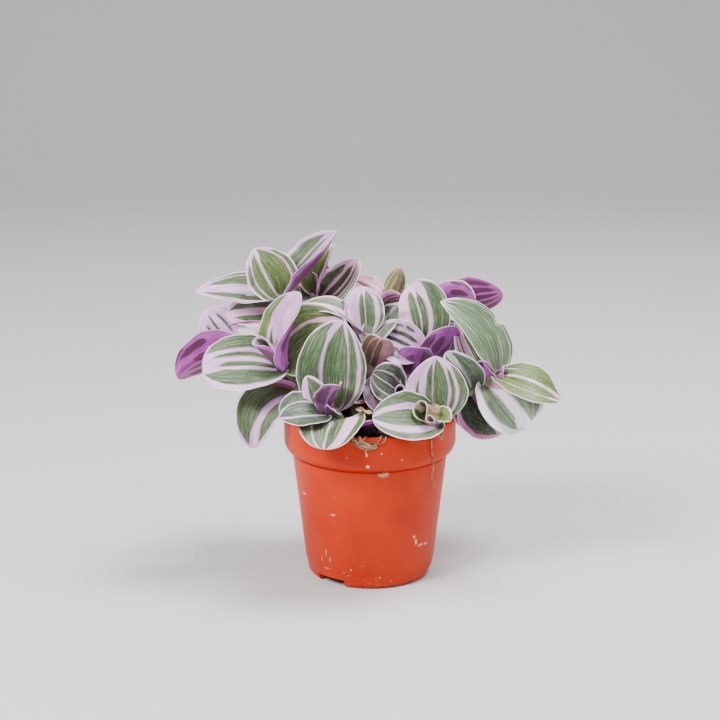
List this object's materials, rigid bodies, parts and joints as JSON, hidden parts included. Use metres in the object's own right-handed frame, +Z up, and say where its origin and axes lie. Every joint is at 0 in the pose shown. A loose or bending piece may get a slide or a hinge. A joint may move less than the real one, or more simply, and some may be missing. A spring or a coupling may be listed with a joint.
{
  "type": "potted tradescantia",
  "caption": "Bushy trailing houseplant with pink, white and green striped oval leaves, growing from dark soil in a round terracotta-coloured nursery pot with a broad rim.",
  "frame": {"origin": "middle of the pot's foot, on the surface it stands on", "axes": "+Z up out of the pot, -Y towards the viewer of the picture, +X along the plant's widest spread, to the viewer's right"},
  "size_m": [0.198, 0.1117, 0.179],
  "materials": {
    "pot_plastic": "moulded orange-red plastic with a soft sheen",
    "potting_soil": "moist dark potting mix, crumbly",
    "striped_leaf": "fleshy leaf striped grey-green, pink and white, purple underneath"
  },
  "bodies": {
    "root": {"pot": "pot_plastic", "soil": "potting_soil", "leafy_stem_front_left": "striped_leaf", "leafy_stem_left": "striped_leaf", "leafy_stem_left_tall": "striped_leaf", "leafy_stem_top": "striped_leaf", "leafy_stem_middle": "striped_leaf", "leafy_stem_middle_back": "striped_leaf", "leafy_stem_right_middle": "striped_leaf", "leafy_stem_right": "striped_leaf", "leafy_stem_front_right": "striped_leaf", "leafy_stem_front_middle": "striped_leaf", "leafy_stem_far_left": "striped_leaf", "leafy_stem_right_back": "striped_leaf", "leafy_stem_back_left": "striped_leaf", "leafy_stem_back": "striped_leaf", "leafy_stem_back_right": "striped_leaf"}
  },
  "joints": []
}
